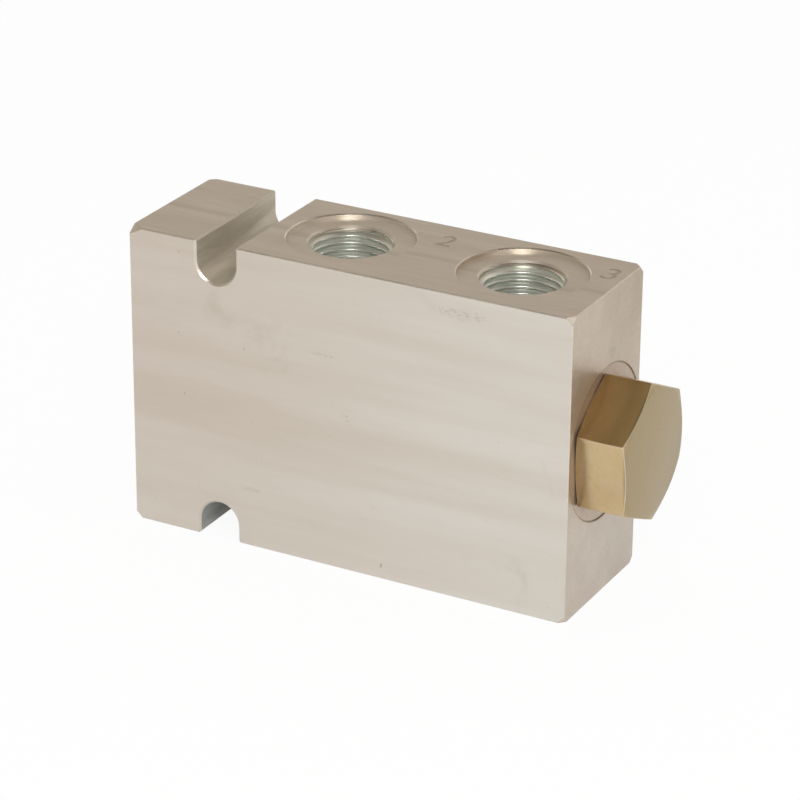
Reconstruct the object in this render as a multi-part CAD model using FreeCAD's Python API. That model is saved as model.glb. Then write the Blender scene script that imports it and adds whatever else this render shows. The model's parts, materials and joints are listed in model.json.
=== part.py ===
import FreeCAD, Part
import math
import os

# A hydraulic flow divider: a milled aluminium block with two threaded outlet ports on top, an inlet
# port in its base, two open mounting slots, and a screw-in divider cartridge along its length.
# Sizes are in millimetres. The origin lies on the base, on the inlet port's axis. +X runs along the
# block to the cartridge's hexagon, +Y to the back and +Z up.

# The block; the ports and the cartridge lie on one plane, a little behind its middle
block_length = 120.0
block_height = 78.8
block_thickness = 38.7
axis_set_back = 0.6
edge_break = 0.3
corner_cut = 2.0
worn_corner_length = 4.2
worn_corner_width = 3.0
worn_corner_height = 2.2

# The two mounting slots, for 10 mm bolts
slot_from_end = 24.5
slot_width = 11.0
upper_slot_depth = 10.5
lower_slot_depth = 9.6
slot_rim_break = 0.5

# The three ports, threaded 1/2 inch pipe, 14 turns to the inch
left_outlet_from_end = 50.9
outlet_spacing = 46.4
port_thread_diameter = 20.955
port_thread_depth = 16.0
port_mouth_diameter = 21.8
port_mouth_depth = 0.45
port_passage_diameter = 14.0
spotface_diameter = 31.8
spotface_depth = 1.2
drill_point_angle = 118.0

# The cartridge's cavity, a stepped bore from the right end
cartridge_axis_height = 40.0
recess_diameter = 39.0
recess_depth = 0.25
cavity_thread_diameter = 27.0
seal_cone_mouth = 29.4
seal_cone_depth = 3.1
right_chamber_diameter = 24.0
land_step = 0.8
right_chamber_reach = 6.6
inlet_chamber_reach = 8.0
left_chamber_reach = 7.5
nose_clearance = 0.7

# The cartridge's head
hex_across_flats = 32.0
hex_height = 13.2
hex_turn = 5.0
hex_outer_chamfer_angle = 16.0
hex_inner_chamfer_angle = 12.0
hex_chamfer_share = 0.975
head_neck_diameter = 24.0
head_bore_diameter = 17.0
head_seal_width = 2.9

# The sleeve
sleeve_bore_diameter = 12.5
sleeve_hole_count = 4
inlet_hole_diameter = 5.0
outlet_hole_diameter = 4.0
waist_depth = 1.2

# The land seals: an O-ring between two backup rings in each groove
seal_depth = 1.7
seal_width = 2.4
backup_width = 1.1
squeezed_corner_share = 0.3
ring_side_count = 20

# The spool and its two jets
spool_overrun = 11.4
spool_travel = 2.5
spool_stop_gap = 0.3
spool_groove_diameter = 10.6
spool_outlet_groove_width = 6.0
spool_inlet_groove_width = 10.0
spool_hole_count = 2
spool_inlet_hole_diameter = 4.0
spool_outlet_hole_diameter = 3.6
gallery_diameter = 6.5
jet_diameter = 8.0
jet_length = 5.0
jet_from_middle = 9.0
jet_orifice_diameter = 2.0
jet_slot_width = 1.2
jet_slot_depth = 1.2

# The springs, shims, nose plug and its ring
spring_pocket_diameter = 10.0
spring_pocket_depth = 8.6
spring_wire = 1.1
spring_turn_count = 4
spring_turn_step_count = 10
spring_wire_side_count = 4
spring_side_gap = 0.2
shim_thickness = 0.5
shim_hole_diameter = 5.0
nose_plug_length = 5.0
ring_thickness = 1.2
ring_groove_depth = 0.8
ring_radial_width = 1.6
sleeve_lip = 1.1

# Clearances, on the radius or along the axis
seat_clearance = 0.05
spool_clearance = 0.02
seal_clearance = 0.03
end_clearance = 0.05
cut_margin = 1.0

# Places along X
left_outlet_x = -outlet_spacing / 2
right_outlet_x = outlet_spacing / 2
block_left_x = left_outlet_x - left_outlet_from_end
block_right_x = block_left_x + block_length
recess_floor_x = block_right_x - recess_depth
slot_x = block_left_x + slot_from_end
stop_gap = spool_travel + spool_stop_gap
spool_half_length = right_outlet_x + spool_overrun
shim_face_x = spool_half_length + stop_gap
seat_face_x = shim_face_x + shim_thickness
shank_end_x = right_outlet_x + right_chamber_reach
land_b_start_x = right_outlet_x - right_chamber_reach
land_c_start_x = -inlet_chamber_reach
nose_land_start_x = left_outlet_x - left_chamber_reach
plug_end_x = -seat_face_x - nose_plug_length
ring_end_x = plug_end_x - ring_thickness
sleeve_end_x = ring_end_x - sleeve_lip
cavity_end_x = sleeve_end_x - nose_clearance

# The faces along Y, and the bores' radii
block_front_y = -block_thickness / 2 - axis_set_back
block_back_y = block_front_y + block_thickness
bore_a_radius = right_chamber_diameter / 2
bore_b_radius = bore_a_radius - land_step
bore_c_radius = bore_b_radius - land_step
bore_d_radius = bore_c_radius - land_step
groove_width = seal_width + 2 * backup_width + 4 * end_clearance
land_b_end_x = inlet_chamber_reach
land_c_end_x = left_outlet_x + left_chamber_reach
land_b_middle_x = (land_b_start_x + land_b_end_x) / 2
land_c_middle_x = (land_c_start_x + land_c_end_x) / 2
nose_land_middle_x = nose_land_start_x - groove_width / 2 - sleeve_lip


def turned(outline):
    """A solid turned about the cartridge's axis, from points of (x, radius)."""
    corners = [FreeCAD.Vector(x, 0, cartridge_axis_height + r) for x, r in outline]
    face = Part.Face(Part.makePolygon(corners + corners[:1]))
    centre = FreeCAD.Vector(0, 0, cartridge_axis_height)
    return face.revolve(centre, FreeCAD.Vector(1, 0, 0), 360)


def ring(x_start, x_end, inner_radius, outer_radius):
    return turned([(x_start, inner_radius), (x_end, inner_radius), (x_end, outer_radius), (x_start, outer_radius)])


def flat_sided(stations):
    """A solid with flats in place of its round faces, through a regular polygon at each (x, radius)."""
    wires = []
    for x, radius in stations:
        angles = [2 * math.pi * side / ring_side_count for side in range(ring_side_count + 1)]
        levels = [(radius * math.cos(angle), cartridge_axis_height + radius * math.sin(angle)) for angle in angles]
        wires.append(Part.makePolygon([FreeCAD.Vector(x, y, z) for y, z in levels]))
    return Part.makeLoft(wires, True, True)


def hidden_ring(x_start, x_end, inner_radius, outer_radius, corner=0):
    """A small ring inside the block, with flat sides; the corner rounds its outer edges off."""
    clear_radius = inner_radius / math.cos(math.pi / ring_side_count)
    outside = [(x_start, outer_radius), (x_end, outer_radius)]
    if corner:
        outside = [
            (x_start, outer_radius - corner), (x_start + corner, outer_radius),
            (x_end - corner, outer_radius), (x_end, outer_radius - corner),
        ]
    hole = flat_sided([(x_start - cut_margin, clear_radius), (x_end + cut_margin, clear_radius)])
    return flat_sided(outside).cut(hole)


def rod(x_start, x_end, radius):
    start = FreeCAD.Vector(x_start, 0, cartridge_axis_height)
    return Part.makeCylinder(radius, x_end - x_start, start, FreeCAD.Vector(1, 0, 0))


def cross_holes(x, diameter, count, reach):
    """Radial drillings through a tube's wall, evenly spaced about the cartridge's axis."""
    centre = FreeCAD.Vector(x, 0, cartridge_axis_height)
    holes = []
    for number in range(count):
        angle = 2 * math.pi * number / count
        out = FreeCAD.Vector(0, math.cos(angle), math.sin(angle))
        holes.append(Part.makeCylinder(diameter / 2, reach, centre, out))
    return holes


def corner_cutter(corner, inward, legs):
    """The tetrahedron that a flat across one corner of the block takes off, a little oversize outside."""
    sides = [FreeCAD.Vector(*[way * (axis == k) for k, way in enumerate(inward)]) for axis in range(3)]
    apex = FreeCAD.Vector(*corner)
    for side in sides:
        apex = apex - side * cut_margin
    tips = [apex + sides[k] * (legs[k] + cut_margin * (1 + legs[k] * others(legs, k))) for k in range(3)]
    faces = [
        Part.Face(Part.makePolygon([a, b, c, a]))
        for a, b, c in ((apex, tips[0], tips[1]), (apex, tips[1], tips[2]), (apex, tips[2], tips[0]), tips)
    ]
    return Part.makeSolid(Part.makeShell(faces))


def others(legs, k):
    """How much further out the tip on leg k lies for each millimetre that the apex is moved back."""
    return sum(1 / leg for number, leg in enumerate(legs) if number != k)


def slot_cutter(face_z, inward, depth):
    """A slot right through the thickness, with its rims broken on the front, the back and the open face."""
    half = slot_width / 2
    centre_z = face_z + inward * (depth - half)
    rise = FreeCAD.Vector(0, 0, -inward * (depth - half + cut_margin))
    through = FreeCAD.Vector(0, block_thickness + 2 * cut_margin, 0)
    start = FreeCAD.Vector(slot_x, block_front_y - cut_margin, centre_z)
    wide = half + slot_rim_break + cut_margin
    taper = slot_rim_break + cut_margin
    pieces = [Part.makeCylinder(half, through.Length, start, FreeCAD.Vector(0, 1, 0))]

    def plate(points, sweep):
        corners = [FreeCAD.Vector(*point) for point in points]
        return Part.Face(Part.makePolygon(corners + corners[:1])).extrude(sweep)

    left, right = slot_x - half, slot_x + half
    front, back = start.y, start.y + through.Length
    walls = [(left, front, centre_z), (right, front, centre_z), (right, back, centre_z), (left, back, centre_z)]
    pieces.append(plate(walls, rise))
    for y, way in ((block_front_y, 1), (block_back_y, -1)):
        outside, inside = y - way * cut_margin, y + way * slot_rim_break
        rim_centre = FreeCAD.Vector(slot_x, outside, centre_z)
        pieces.append(Part.makeCone(wide, half, taper, rim_centre, FreeCAD.Vector(0, way, 0)))
        rim = [(left, inside), (right, inside), (slot_x + wide, outside), (slot_x - wide, outside)]
        pieces.append(plate([(x, rim_y, centre_z) for x, rim_y in rim], rise))
    inside, outside = face_z + inward * slot_rim_break, face_z - inward * cut_margin
    mouth = [(left, inside), (right, inside), (slot_x + wide, outside), (slot_x - wide, outside)]
    pieces.append(plate([(x, front, z) for x, z in mouth], through))
    return pieces[0].fuse(pieces[1:])


def port_cutter(x, face_z, inward):
    """One port: spotface, mouth, thread at its major diameter, drill point and the passage to the cavity."""
    drill_slope = math.tan(math.radians(drill_point_angle / 2))
    floor = spotface_depth
    thread_end = floor + port_thread_depth
    point_end = thread_end + (port_thread_diameter - port_passage_diameter) / 2 / drill_slope
    axis_depth = abs(cartridge_axis_height - face_z)
    outline = [
        (-cut_margin, 0),
        (-cut_margin, spotface_diameter / 2),
        (floor, spotface_diameter / 2),
        (floor, port_mouth_diameter / 2),
        (floor + port_mouth_depth, port_thread_diameter / 2),
        (thread_end, port_thread_diameter / 2),
        (point_end, port_passage_diameter / 2),
        (axis_depth, port_passage_diameter / 2),
        (axis_depth, 0),
    ]
    corners = [FreeCAD.Vector(x + radius, 0, face_z + inward * depth) for depth, radius in outline]
    face = Part.Face(Part.makePolygon(corners + corners[:1]))
    return face.revolve(FreeCAD.Vector(x, 0, 0), FreeCAD.Vector(0, 0, 1), 360)


def cavity_cutter():
    """The stepped bore that the cartridge screws into, with a drill point at its blind end."""
    drill_slope = math.tan(math.radians(drill_point_angle / 2))
    return turned([
        (cavity_end_x - bore_d_radius / drill_slope, 0),
        (cavity_end_x, bore_d_radius),
        (nose_land_start_x, bore_d_radius),
        (nose_land_start_x, bore_c_radius),
        (land_c_start_x, bore_c_radius),
        (land_c_start_x, bore_b_radius),
        (land_b_start_x, bore_b_radius),
        (land_b_start_x, bore_a_radius),
        (shank_end_x - end_clearance, bore_a_radius),
        (shank_end_x - end_clearance, cavity_thread_diameter / 2),
        (recess_floor_x - seal_cone_depth, cavity_thread_diameter / 2),
        (recess_floor_x, seal_cone_mouth / 2),
        (recess_floor_x, recess_diameter / 2),
        (block_right_x + cut_margin, recess_diameter / 2),
        (block_right_x + cut_margin, 0),
    ])


def make_valve_block():
    corner = FreeCAD.Vector(block_left_x, block_front_y, 0)
    block = Part.makeBox(block_length, block_thickness, block_height, corner)
    block = block.makeChamfer(edge_break, block.Edges)
    ends = [(block_left_x, 1), (block_right_x, -1)]
    sides = [(block_front_y, 1), (block_back_y, -1)]
    levels = [(0, 1), (block_height, -1)]
    cutters = []
    for x, x_way in ends:
        for y, y_way in sides:
            for z, z_way in levels:
                worn = (x_way, y_way, z_way) == (1, 1, -1)
                worn_legs = (worn_corner_length, worn_corner_width, worn_corner_height)
                legs = worn_legs if worn else (corner_cut, corner_cut, corner_cut)
                cutters.append(corner_cutter((x, y, z), (x_way, y_way, z_way), legs))
    cutters += [slot_cutter(block_height, -1, upper_slot_depth), slot_cutter(0, 1, lower_slot_depth)]
    cutters += [port_cutter(x, block_height, -1) for x in (left_outlet_x, right_outlet_x)]
    cutters += [port_cutter(0, 0, 1), cavity_cutter()]
    for cutter in cutters:
        block = block.cut(cutter)
    return block


def make_cartridge_head():
    """The hexagon with a chamfer turned on both faces, the neck for the seal, and the hollow shank."""
    corner_radius = hex_across_flats / 2 / math.cos(math.pi / 6)
    corners = []
    for number in range(6):
        angle = math.radians(90 + hex_turn + 60 * number)
        y = corner_radius * math.cos(angle)
        z = cartridge_axis_height + corner_radius * math.sin(angle)
        corners.append(FreeCAD.Vector(recess_floor_x, y, z))
    hexagon = Part.Face(Part.makePolygon(corners + corners[:1])).extrude(FreeCAD.Vector(hex_height, 0, 0))
    face_radius = hex_across_flats / 2 * hex_chamfer_share
    outer_x = recess_floor_x + hex_height
    wide_radius = corner_radius + cut_margin
    inner_rise = (wide_radius - face_radius) * math.tan(math.radians(hex_inner_chamfer_angle))
    outer_rise = (wide_radius - face_radius) * math.tan(math.radians(hex_outer_chamfer_angle))
    hexagon = hexagon.common(turned([
        (recess_floor_x, 0),
        (recess_floor_x, face_radius),
        (recess_floor_x + inner_rise, wide_radius),
        (outer_x - outer_rise, wide_radius),
        (outer_x, face_radius),
        (outer_x, 0),
    ]))
    thread_radius = cavity_thread_diameter / 2 - seat_clearance
    neck_radius = head_neck_diameter / 2
    shank = turned([
        (shank_end_x, 0),
        (shank_end_x, thread_radius),
        (recess_floor_x - seal_cone_depth - end_clearance, thread_radius),
        (recess_floor_x - seal_cone_depth - end_clearance, neck_radius),
        (recess_floor_x, neck_radius),
        (recess_floor_x, 0),
    ])
    bore = rod(shank_end_x - cut_margin, seat_face_x, head_bore_diameter / 2)
    return hexagon.fuse(shank).removeSplitter().cut(bore)


def squeezed_ring(x_middle, width, inner_radius, outer_radius):
    """An O-ring as it sits in its groove, flat where it is squeezed and rounded off towards its sides."""
    corner = (outer_radius - inner_radius) * squeezed_corner_share
    return hidden_ring(x_middle - width / 2, x_middle + width / 2, inner_radius, outer_radius, corner)


def make_head_o_ring():
    cone_slope = (seal_cone_mouth - cavity_thread_diameter) / 2 / seal_cone_depth
    middle_x = recess_floor_x - seal_cone_depth / 2
    inner_side = middle_x - head_seal_width / 2
    cone_radius = cavity_thread_diameter / 2 + cone_slope * (inner_side - recess_floor_x + seal_cone_depth)
    neck_radius = head_neck_diameter / 2
    return squeezed_ring(middle_x, head_seal_width, neck_radius + seal_clearance, cone_radius)


def make_cartridge_sleeve():
    """The stepped sleeve: a land for each step of the cavity, and a drilled waist in each chamber."""
    b = bore_b_radius - seat_clearance
    c = bore_c_radius - seat_clearance
    d = bore_d_radius - seat_clearance
    neck = head_bore_diameter / 2 - seat_clearance
    sleeve = turned([
        (sleeve_end_x, 0),
        (sleeve_end_x, d),
        (nose_land_start_x, d),
        (nose_land_start_x, c - waist_depth),
        (land_c_end_x, c - waist_depth),
        (land_c_end_x, c),
        (land_c_start_x + end_clearance, c),
        (land_c_start_x + end_clearance, b - waist_depth),
        (land_b_end_x, b - waist_depth),
        (land_b_end_x, b),
        (land_b_start_x + end_clearance, b),
        (land_b_start_x + end_clearance, b - waist_depth),
        (shank_end_x, b - waist_depth),
        (shank_end_x, neck),
        (seat_face_x, neck),
        (seat_face_x, 0),
    ])
    bore_radius = sleeve_bore_diameter / 2
    cutters = [rod(sleeve_end_x - cut_margin, seat_face_x + cut_margin, bore_radius)]
    cutters.append(rod(ring_end_x, plug_end_x, bore_radius + ring_groove_depth))
    for name, x, radius in land_seals:
        cutters.append(ring(x - groove_width / 2, x + groove_width / 2, radius - seal_depth, radius + cut_margin))
    for x, diameter in (
        (right_outlet_x, outlet_hole_diameter),
        (0, inlet_hole_diameter),
        (left_outlet_x, outlet_hole_diameter),
    ):
        cutters += cross_holes(x, diameter, sleeve_hole_count, bore_a_radius)
    return sleeve.cut(cutters)


def make_land_seal(x, radius):
    """The three rings of one groove, from right to left: backup, O-ring, backup."""
    inner = radius - seal_depth + seal_clearance
    outer = radius - seal_clearance
    right_start = x + seal_width / 2 + end_clearance
    left_end = x - seal_width / 2 - end_clearance
    return {
        "backup_right": hidden_ring(right_start, right_start + backup_width, inner, outer),
        "o_ring": squeezed_ring(x, seal_width, inner, outer),
        "backup_left": hidden_ring(left_end - backup_width, left_end, inner, outer),
    }


def make_divider_spool():
    """The spool: an inlet groove, an outlet groove at each end, and a gallery with seats for the jets."""
    radius = sleeve_bore_diameter / 2 - spool_clearance
    end = spool_half_length
    spool = rod(-end, end, radius)
    groove_radius = spool_groove_diameter / 2
    cutters = []
    for x, width in (
        (left_outlet_x, spool_outlet_groove_width),
        (0, spool_inlet_groove_width),
        (right_outlet_x, spool_outlet_groove_width),
    ):
        cutters.append(ring(x - width / 2, x + width / 2, groove_radius, radius + cut_margin))
    cutters.append(rod(-end - cut_margin, end + cut_margin, gallery_diameter / 2))
    for way in (-1, 1):
        for start, bore in ((jet_from_middle, jet_diameter), (end - spring_pocket_depth, spring_pocket_diameter)):
            low, high = sorted((way * start, way * (end + cut_margin)))
            cutters.append(rod(low, high, bore / 2))
    for x, diameter in (
        (left_outlet_x, spool_outlet_hole_diameter),
        (0, spool_inlet_hole_diameter),
        (right_outlet_x, spool_outlet_hole_diameter),
    ):
        cutters += cross_holes(x, diameter, spool_hole_count, sleeve_bore_diameter)
    return spool.cut(cutters)


def make_orifice_jet(way):
    """A jet screwed into the gallery, with its fixed orifice and a slot for a screwdriver."""
    start, end = sorted((way * jet_from_middle, way * (jet_from_middle + jet_length)))
    outer_face = end if way > 0 else start
    jet = flat_sided([(start, jet_diameter / 2 - spool_clearance), (end, jet_diameter / 2 - spool_clearance)])
    orifice_radius = jet_orifice_diameter / 2
    orifice = flat_sided([(start - cut_margin, orifice_radius), (end + cut_margin, orifice_radius)])
    slot_low = cartridge_axis_height - jet_slot_width / 2
    slot_start = outer_face - jet_slot_depth if way > 0 else outer_face - cut_margin
    corner = FreeCAD.Vector(slot_start, -jet_diameter / 2, slot_low)
    slot = Part.makeBox(jet_slot_depth + cut_margin, jet_diameter, jet_slot_width, corner)
    return jet.cut([orifice, slot])


def make_centring_spring(way):
    """A helical spring between its shim and the bottom of the spool's pocket, lofted along its turns."""
    length = stop_gap + spring_pocket_depth - end_clearance
    start_x = shim_face_x - length if way > 0 else -shim_face_x
    wire_radius = spring_wire / 2
    coil_radius = spring_pocket_diameter / 2 - wire_radius - spring_side_gap
    run = length - spring_wire
    steps = spring_turn_count * spring_turn_step_count
    sections = []
    for step in range(steps + 1):
        angle = 2 * math.pi * step / spring_turn_step_count
        x = start_x + wire_radius + run * step / steps
        section = []
        for side in range(spring_wire_side_count + 1):
            around = 2 * math.pi * side / spring_wire_side_count
            radius = coil_radius + wire_radius * math.cos(around)
            level = cartridge_axis_height + radius * math.sin(angle)
            section.append(FreeCAD.Vector(x + wire_radius * math.sin(around), radius * math.cos(angle), level))
        sections.append(Part.makePolygon(section))
    return Part.makeLoft(sections, True, True)


def make_shim(start_x):
    return hidden_ring(start_x, start_x + shim_thickness, shim_hole_diameter / 2, bore_fit_radius)


def make_nose_ring():
    """The wire ring in the sleeve's bore that holds the nose plug, open at its gap."""
    outer = sleeve_bore_diameter / 2 + ring_groove_depth - seal_clearance
    start, end = ring_end_x + seal_clearance, plug_end_x - seal_clearance
    whole = hidden_ring(start, end, outer - ring_radial_width, outer)
    corner = FreeCAD.Vector(start - cut_margin, -ring_radial_width / 2, cartridge_axis_height)
    gap = Part.makeBox(ring_thickness + 2 * cut_margin, ring_radial_width, 2 * outer, corner)
    return whole.cut(gap)


bore_fit_radius = sleeve_bore_diameter / 2 - seat_clearance
land_seals = [
    ("outlet_land", land_b_middle_x, bore_b_radius),
    ("inlet_land", land_c_middle_x, bore_c_radius),
    ("nose", nose_land_middle_x, bore_d_radius),
]
nodes = {
    "valve_block": make_valve_block(),
    "cartridge_head": make_cartridge_head(),
    "head_o_ring": make_head_o_ring(),
    "cartridge_sleeve": make_cartridge_sleeve(),
    "divider_spool": make_divider_spool(),
    "right_orifice_jet": make_orifice_jet(1),
    "left_orifice_jet": make_orifice_jet(-1),
    "right_centring_spring": make_centring_spring(1),
    "left_centring_spring": make_centring_spring(-1),
    "right_spring_shim": make_shim(shim_face_x),
    "left_spring_shim": make_shim(-seat_face_x),
    "nose_plug": flat_sided([(plug_end_x, bore_fit_radius), (-seat_face_x, bore_fit_radius)]),
    "nose_retaining_ring": make_nose_ring(),
}
for seal_name, seal_x, seal_radius in land_seals:
    for piece_name, piece in make_land_seal(seal_x, seal_radius).items():
        nodes[seal_name + "_" + piece_name] = piece

os.makedirs("parts", exist_ok=True)
for name, shape in nodes.items():
    shape.exportStep("parts/" + name + ".step")
    print(name, len(shape.Solids), shape.isValid(), round(shape.Volume, 1))
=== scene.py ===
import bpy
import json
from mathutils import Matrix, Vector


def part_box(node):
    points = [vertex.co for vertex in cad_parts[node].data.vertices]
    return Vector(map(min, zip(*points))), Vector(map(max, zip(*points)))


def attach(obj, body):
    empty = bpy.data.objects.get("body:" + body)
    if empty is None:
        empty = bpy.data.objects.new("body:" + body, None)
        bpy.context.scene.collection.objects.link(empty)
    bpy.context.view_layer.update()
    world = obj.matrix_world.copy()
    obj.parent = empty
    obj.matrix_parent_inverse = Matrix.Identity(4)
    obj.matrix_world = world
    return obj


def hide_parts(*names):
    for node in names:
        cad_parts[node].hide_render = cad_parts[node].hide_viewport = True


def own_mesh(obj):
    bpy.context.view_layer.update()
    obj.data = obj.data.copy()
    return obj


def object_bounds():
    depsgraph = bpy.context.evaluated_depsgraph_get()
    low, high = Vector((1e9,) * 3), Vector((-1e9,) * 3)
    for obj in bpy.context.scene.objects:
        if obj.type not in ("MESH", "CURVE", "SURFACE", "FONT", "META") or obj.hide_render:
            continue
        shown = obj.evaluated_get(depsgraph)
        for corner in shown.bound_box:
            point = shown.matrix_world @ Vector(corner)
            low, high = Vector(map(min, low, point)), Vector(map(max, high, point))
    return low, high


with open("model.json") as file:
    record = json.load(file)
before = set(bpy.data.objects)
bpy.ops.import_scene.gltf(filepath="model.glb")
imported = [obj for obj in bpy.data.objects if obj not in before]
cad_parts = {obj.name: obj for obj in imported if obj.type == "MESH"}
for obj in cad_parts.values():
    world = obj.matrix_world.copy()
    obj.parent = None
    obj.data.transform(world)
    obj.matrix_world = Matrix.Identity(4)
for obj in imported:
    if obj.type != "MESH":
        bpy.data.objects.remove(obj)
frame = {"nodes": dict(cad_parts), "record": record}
cadBox = [list(corner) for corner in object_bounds()]

import json
import math

import bmesh
import bpy
from mathutils import Matrix, Vector

mm = 0.001
outletNames = ("left_outlet_port", "right_outlet_port")
portNames = (*outletNames, "inlet_port")
mounts = {mount["name"]: mount for mount in frame["record"]["mounts"]}
block = {
    "low": Vector(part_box("valve_block")[0]),
    "high": Vector(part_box("valve_block")[1]),
    "smoothAngle": 25,
    # faces inside this radius round a port, and between these depths, show the thread's metal
    "portRadius": 10.95 * mm,
    "portStart": 1.7 * mm,
    "portEnd": 30 * mm,
    "spotfaceRadius": 15.9 * mm,
    "spotfaceDepth": 1.2 * mm,
    # the broken rim of a spotface: its size and cutter; its faces lie between two radii and lean over
    "rimBreak": 0.28 * mm,
    "rimMargin": 0.1 * mm,
    "rimSegments": 96,
    "rimRadii": (15.7 * mm, 16.3 * mm),
    "rimLean": 0.85,
    # a slot's faces lie this near its centre, hardly face front or back, and are below the block's skin
    "slotReach": 6.2 * mm,
    "slotLean": 0.2,
    "skin": 0.05 * mm,
}
block["middle"] = (block["low"] + block["high"]) / 2
block["half"] = (block["high"] - block["low"]) / 2


def portFace(name):
    # where a port's axis meets the block's outer face, and the way out of the port
    out = Vector(mounts[name]["axis"])
    level = block["high"].z if out.z > 0 else block["low"].z
    return Vector((mounts[name]["pos_m"][0], mounts[name]["pos_m"][1], level)), out


# small helpers for node trees

def addNode(tree, kind, values=None, **settings):
    made = tree.nodes.new(kind)
    for name, value in settings.items():
        setattr(made, name, value)
    for socket, value in (values or {}).items():
        if isinstance(value, bpy.types.NodeSocket):
            tree.links.new(value, made.inputs[socket])
        else:
            made.inputs[socket].default_value = value
    return made


def maths(tree, operation, first, second=0.0, third=0.0, clamp=False):
    values = {0: first, 1: second, 2: third}
    return addNode(tree, "ShaderNodeMath", values, operation=operation, use_clamp=clamp).outputs[0]


def product(tree, first, *others):
    for other in others:
        first = maths(tree, "MULTIPLY", first, other)
    return first


def vectors(tree, operation, *values):
    return addNode(tree, "ShaderNodeVectorMath", dict(enumerate(values)), operation=operation).outputs[0]


def lengthOf(tree, vector):
    return addNode(tree, "ShaderNodeVectorMath", {0: vector}, operation="LENGTH").outputs["Value"]


def axesOf(tree, vector):
    return addNode(tree, "ShaderNodeSeparateXYZ", {0: vector}).outputs


def addNoise(tree, vector, scale, detail, roughness=0.5, distortion=0.0):
    return addNode(tree, "ShaderNodeTexNoise", {
        "Vector": vector, "Scale": scale, "Detail": detail, "Roughness": roughness, "Distortion": distortion,
    }).outputs[0]


def rescale(tree, value, fromLow, fromHigh, toLow=0.0, toHigh=1.0):
    values = {"Value": value, "From Min": fromLow, "From Max": fromHigh, "To Min": toLow, "To Max": toHigh}
    return addNode(tree, "ShaderNodeMapRange", values, interpolation_type="SMOOTHSTEP").outputs[0]


def mixColours(tree, factor, first, second, blend="MIX"):
    made = addNode(tree, "ShaderNodeMix", data_type="RGBA", blend_type=blend)
    for socket, value in ((0, factor), (6, first), (7, second)):
        if isinstance(value, bpy.types.NodeSocket):
            tree.links.new(value, made.inputs[socket])
        else:
            made.inputs[socket].default_value = value if socket == 0 else (*value, 1.0)
    return made.outputs[2]


def newTree(kind, name, inputs, outputs):
    tree = bpy.data.node_groups.new(name, kind)
    for socketName, socketKind, value in inputs:
        socket = tree.interface.new_socket(socketName, in_out="INPUT", socket_type=socketKind)
        if value is not None:
            socket.default_value = value
    for socketName, socketKind in outputs:
        tree.interface.new_socket(socketName, in_out="OUTPUT", socket_type=socketKind)
    return tree, addNode(tree, "NodeGroupInput").outputs, addNode(tree, "NodeGroupOutput").inputs


def newEffect(name, inputs, *outputs):
    # a shader node group that takes a place and gives values
    inputs = [("Vector", "NodeSocketVector", None)] + inputs
    return newTree("ShaderNodeTree", name, inputs, [(output, "NodeSocketFloat") for output in outputs])


def useGroup(tree, group, values):
    return addNode(tree, "ShaderNodeGroup", values, node_tree=group).outputs


# effects that several finishes share

grainEffect = {
    "fine": {"detail": 5.0, "roughness": 0.62},
    "fineRange": (0.3, 0.7),
    "slow": {"detail": 2.0},
    "slowScale": 0.12,  # as a share of the fine scale
    "slowRange": (0.32, 0.68),
}


def makeGrainGroup():
    # long thin streaks left by the cutter, with a slow drift of shade over them
    tree, given, result = newEffect("cutterGrain", [
        ("Stretch", "NodeSocketVector", (1.0, 12.0, 12.0)),
        ("Scale", "NodeSocketFloat", 100.0),
    ], "Shade", "Drift")
    stretched = vectors(tree, "MULTIPLY", given["Vector"], given["Stretch"])
    fine = addNoise(tree, stretched, given["Scale"], **grainEffect["fine"])
    slowScale = product(tree, given["Scale"], grainEffect["slowScale"])
    slow = addNoise(tree, stretched, slowScale, **grainEffect["slow"])
    tree.links.new(rescale(tree, fine, *grainEffect["fineRange"]), result["Shade"])
    tree.links.new(rescale(tree, slow, *grainEffect["slowRange"]), result["Drift"])
    return tree


edgeEffect = {
    "noise": {"scale": 900.0, "detail": 4.0},
    "gain": 4.0,
    "least": 0.01 * mm,
    "fade": (0.6, 1.2),  # in reaches from the edge
}


def makeEdgeGroup():
    # how near a point is to the nearest edge of a box, broken up by noise
    tree, given, result = newEffect("boxEdgeWear", [
        ("Middle", "NodeSocketVector", (0.0, 0.0, 0.0)),
        ("Half Size", "NodeSocketVector", (1.0, 1.0, 1.0)),
        ("Width", "NodeSocketFloat", 0.0005),
        ("Ragged", "NodeSocketFloat", 0.6),
    ], "Mask")
    folded = vectors(tree, "ABSOLUTE", vectors(tree, "SUBTRACT", given["Vector"], given["Middle"]))
    x, y, z = axesOf(tree, vectors(tree, "SUBTRACT", given["Half Size"], folded))
    lower = maths(tree, "MINIMUM", x, y)
    upper = maths(tree, "MAXIMUM", x, y)
    second = maths(tree, "MAXIMUM", lower, maths(tree, "MINIMUM", upper, z))
    noise = addNoise(tree, given["Vector"], **edgeEffect["noise"])
    ragged = product(tree, maths(tree, "SUBTRACT", noise, 0.5), given["Ragged"])
    reach = product(tree, given["Width"], maths(tree, "MULTIPLY_ADD", ragged, edgeEffect["gain"], 1.0))
    share = maths(tree, "DIVIDE", second, maths(tree, "MAXIMUM", reach, edgeEffect["least"]))
    away = rescale(tree, share, *edgeEffect["fade"])
    tree.links.new(maths(tree, "SUBTRACT", 1.0, away), result["Mask"])
    return tree


ringEffect = {"scale": 160.0, "detail": 2.0}


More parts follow.
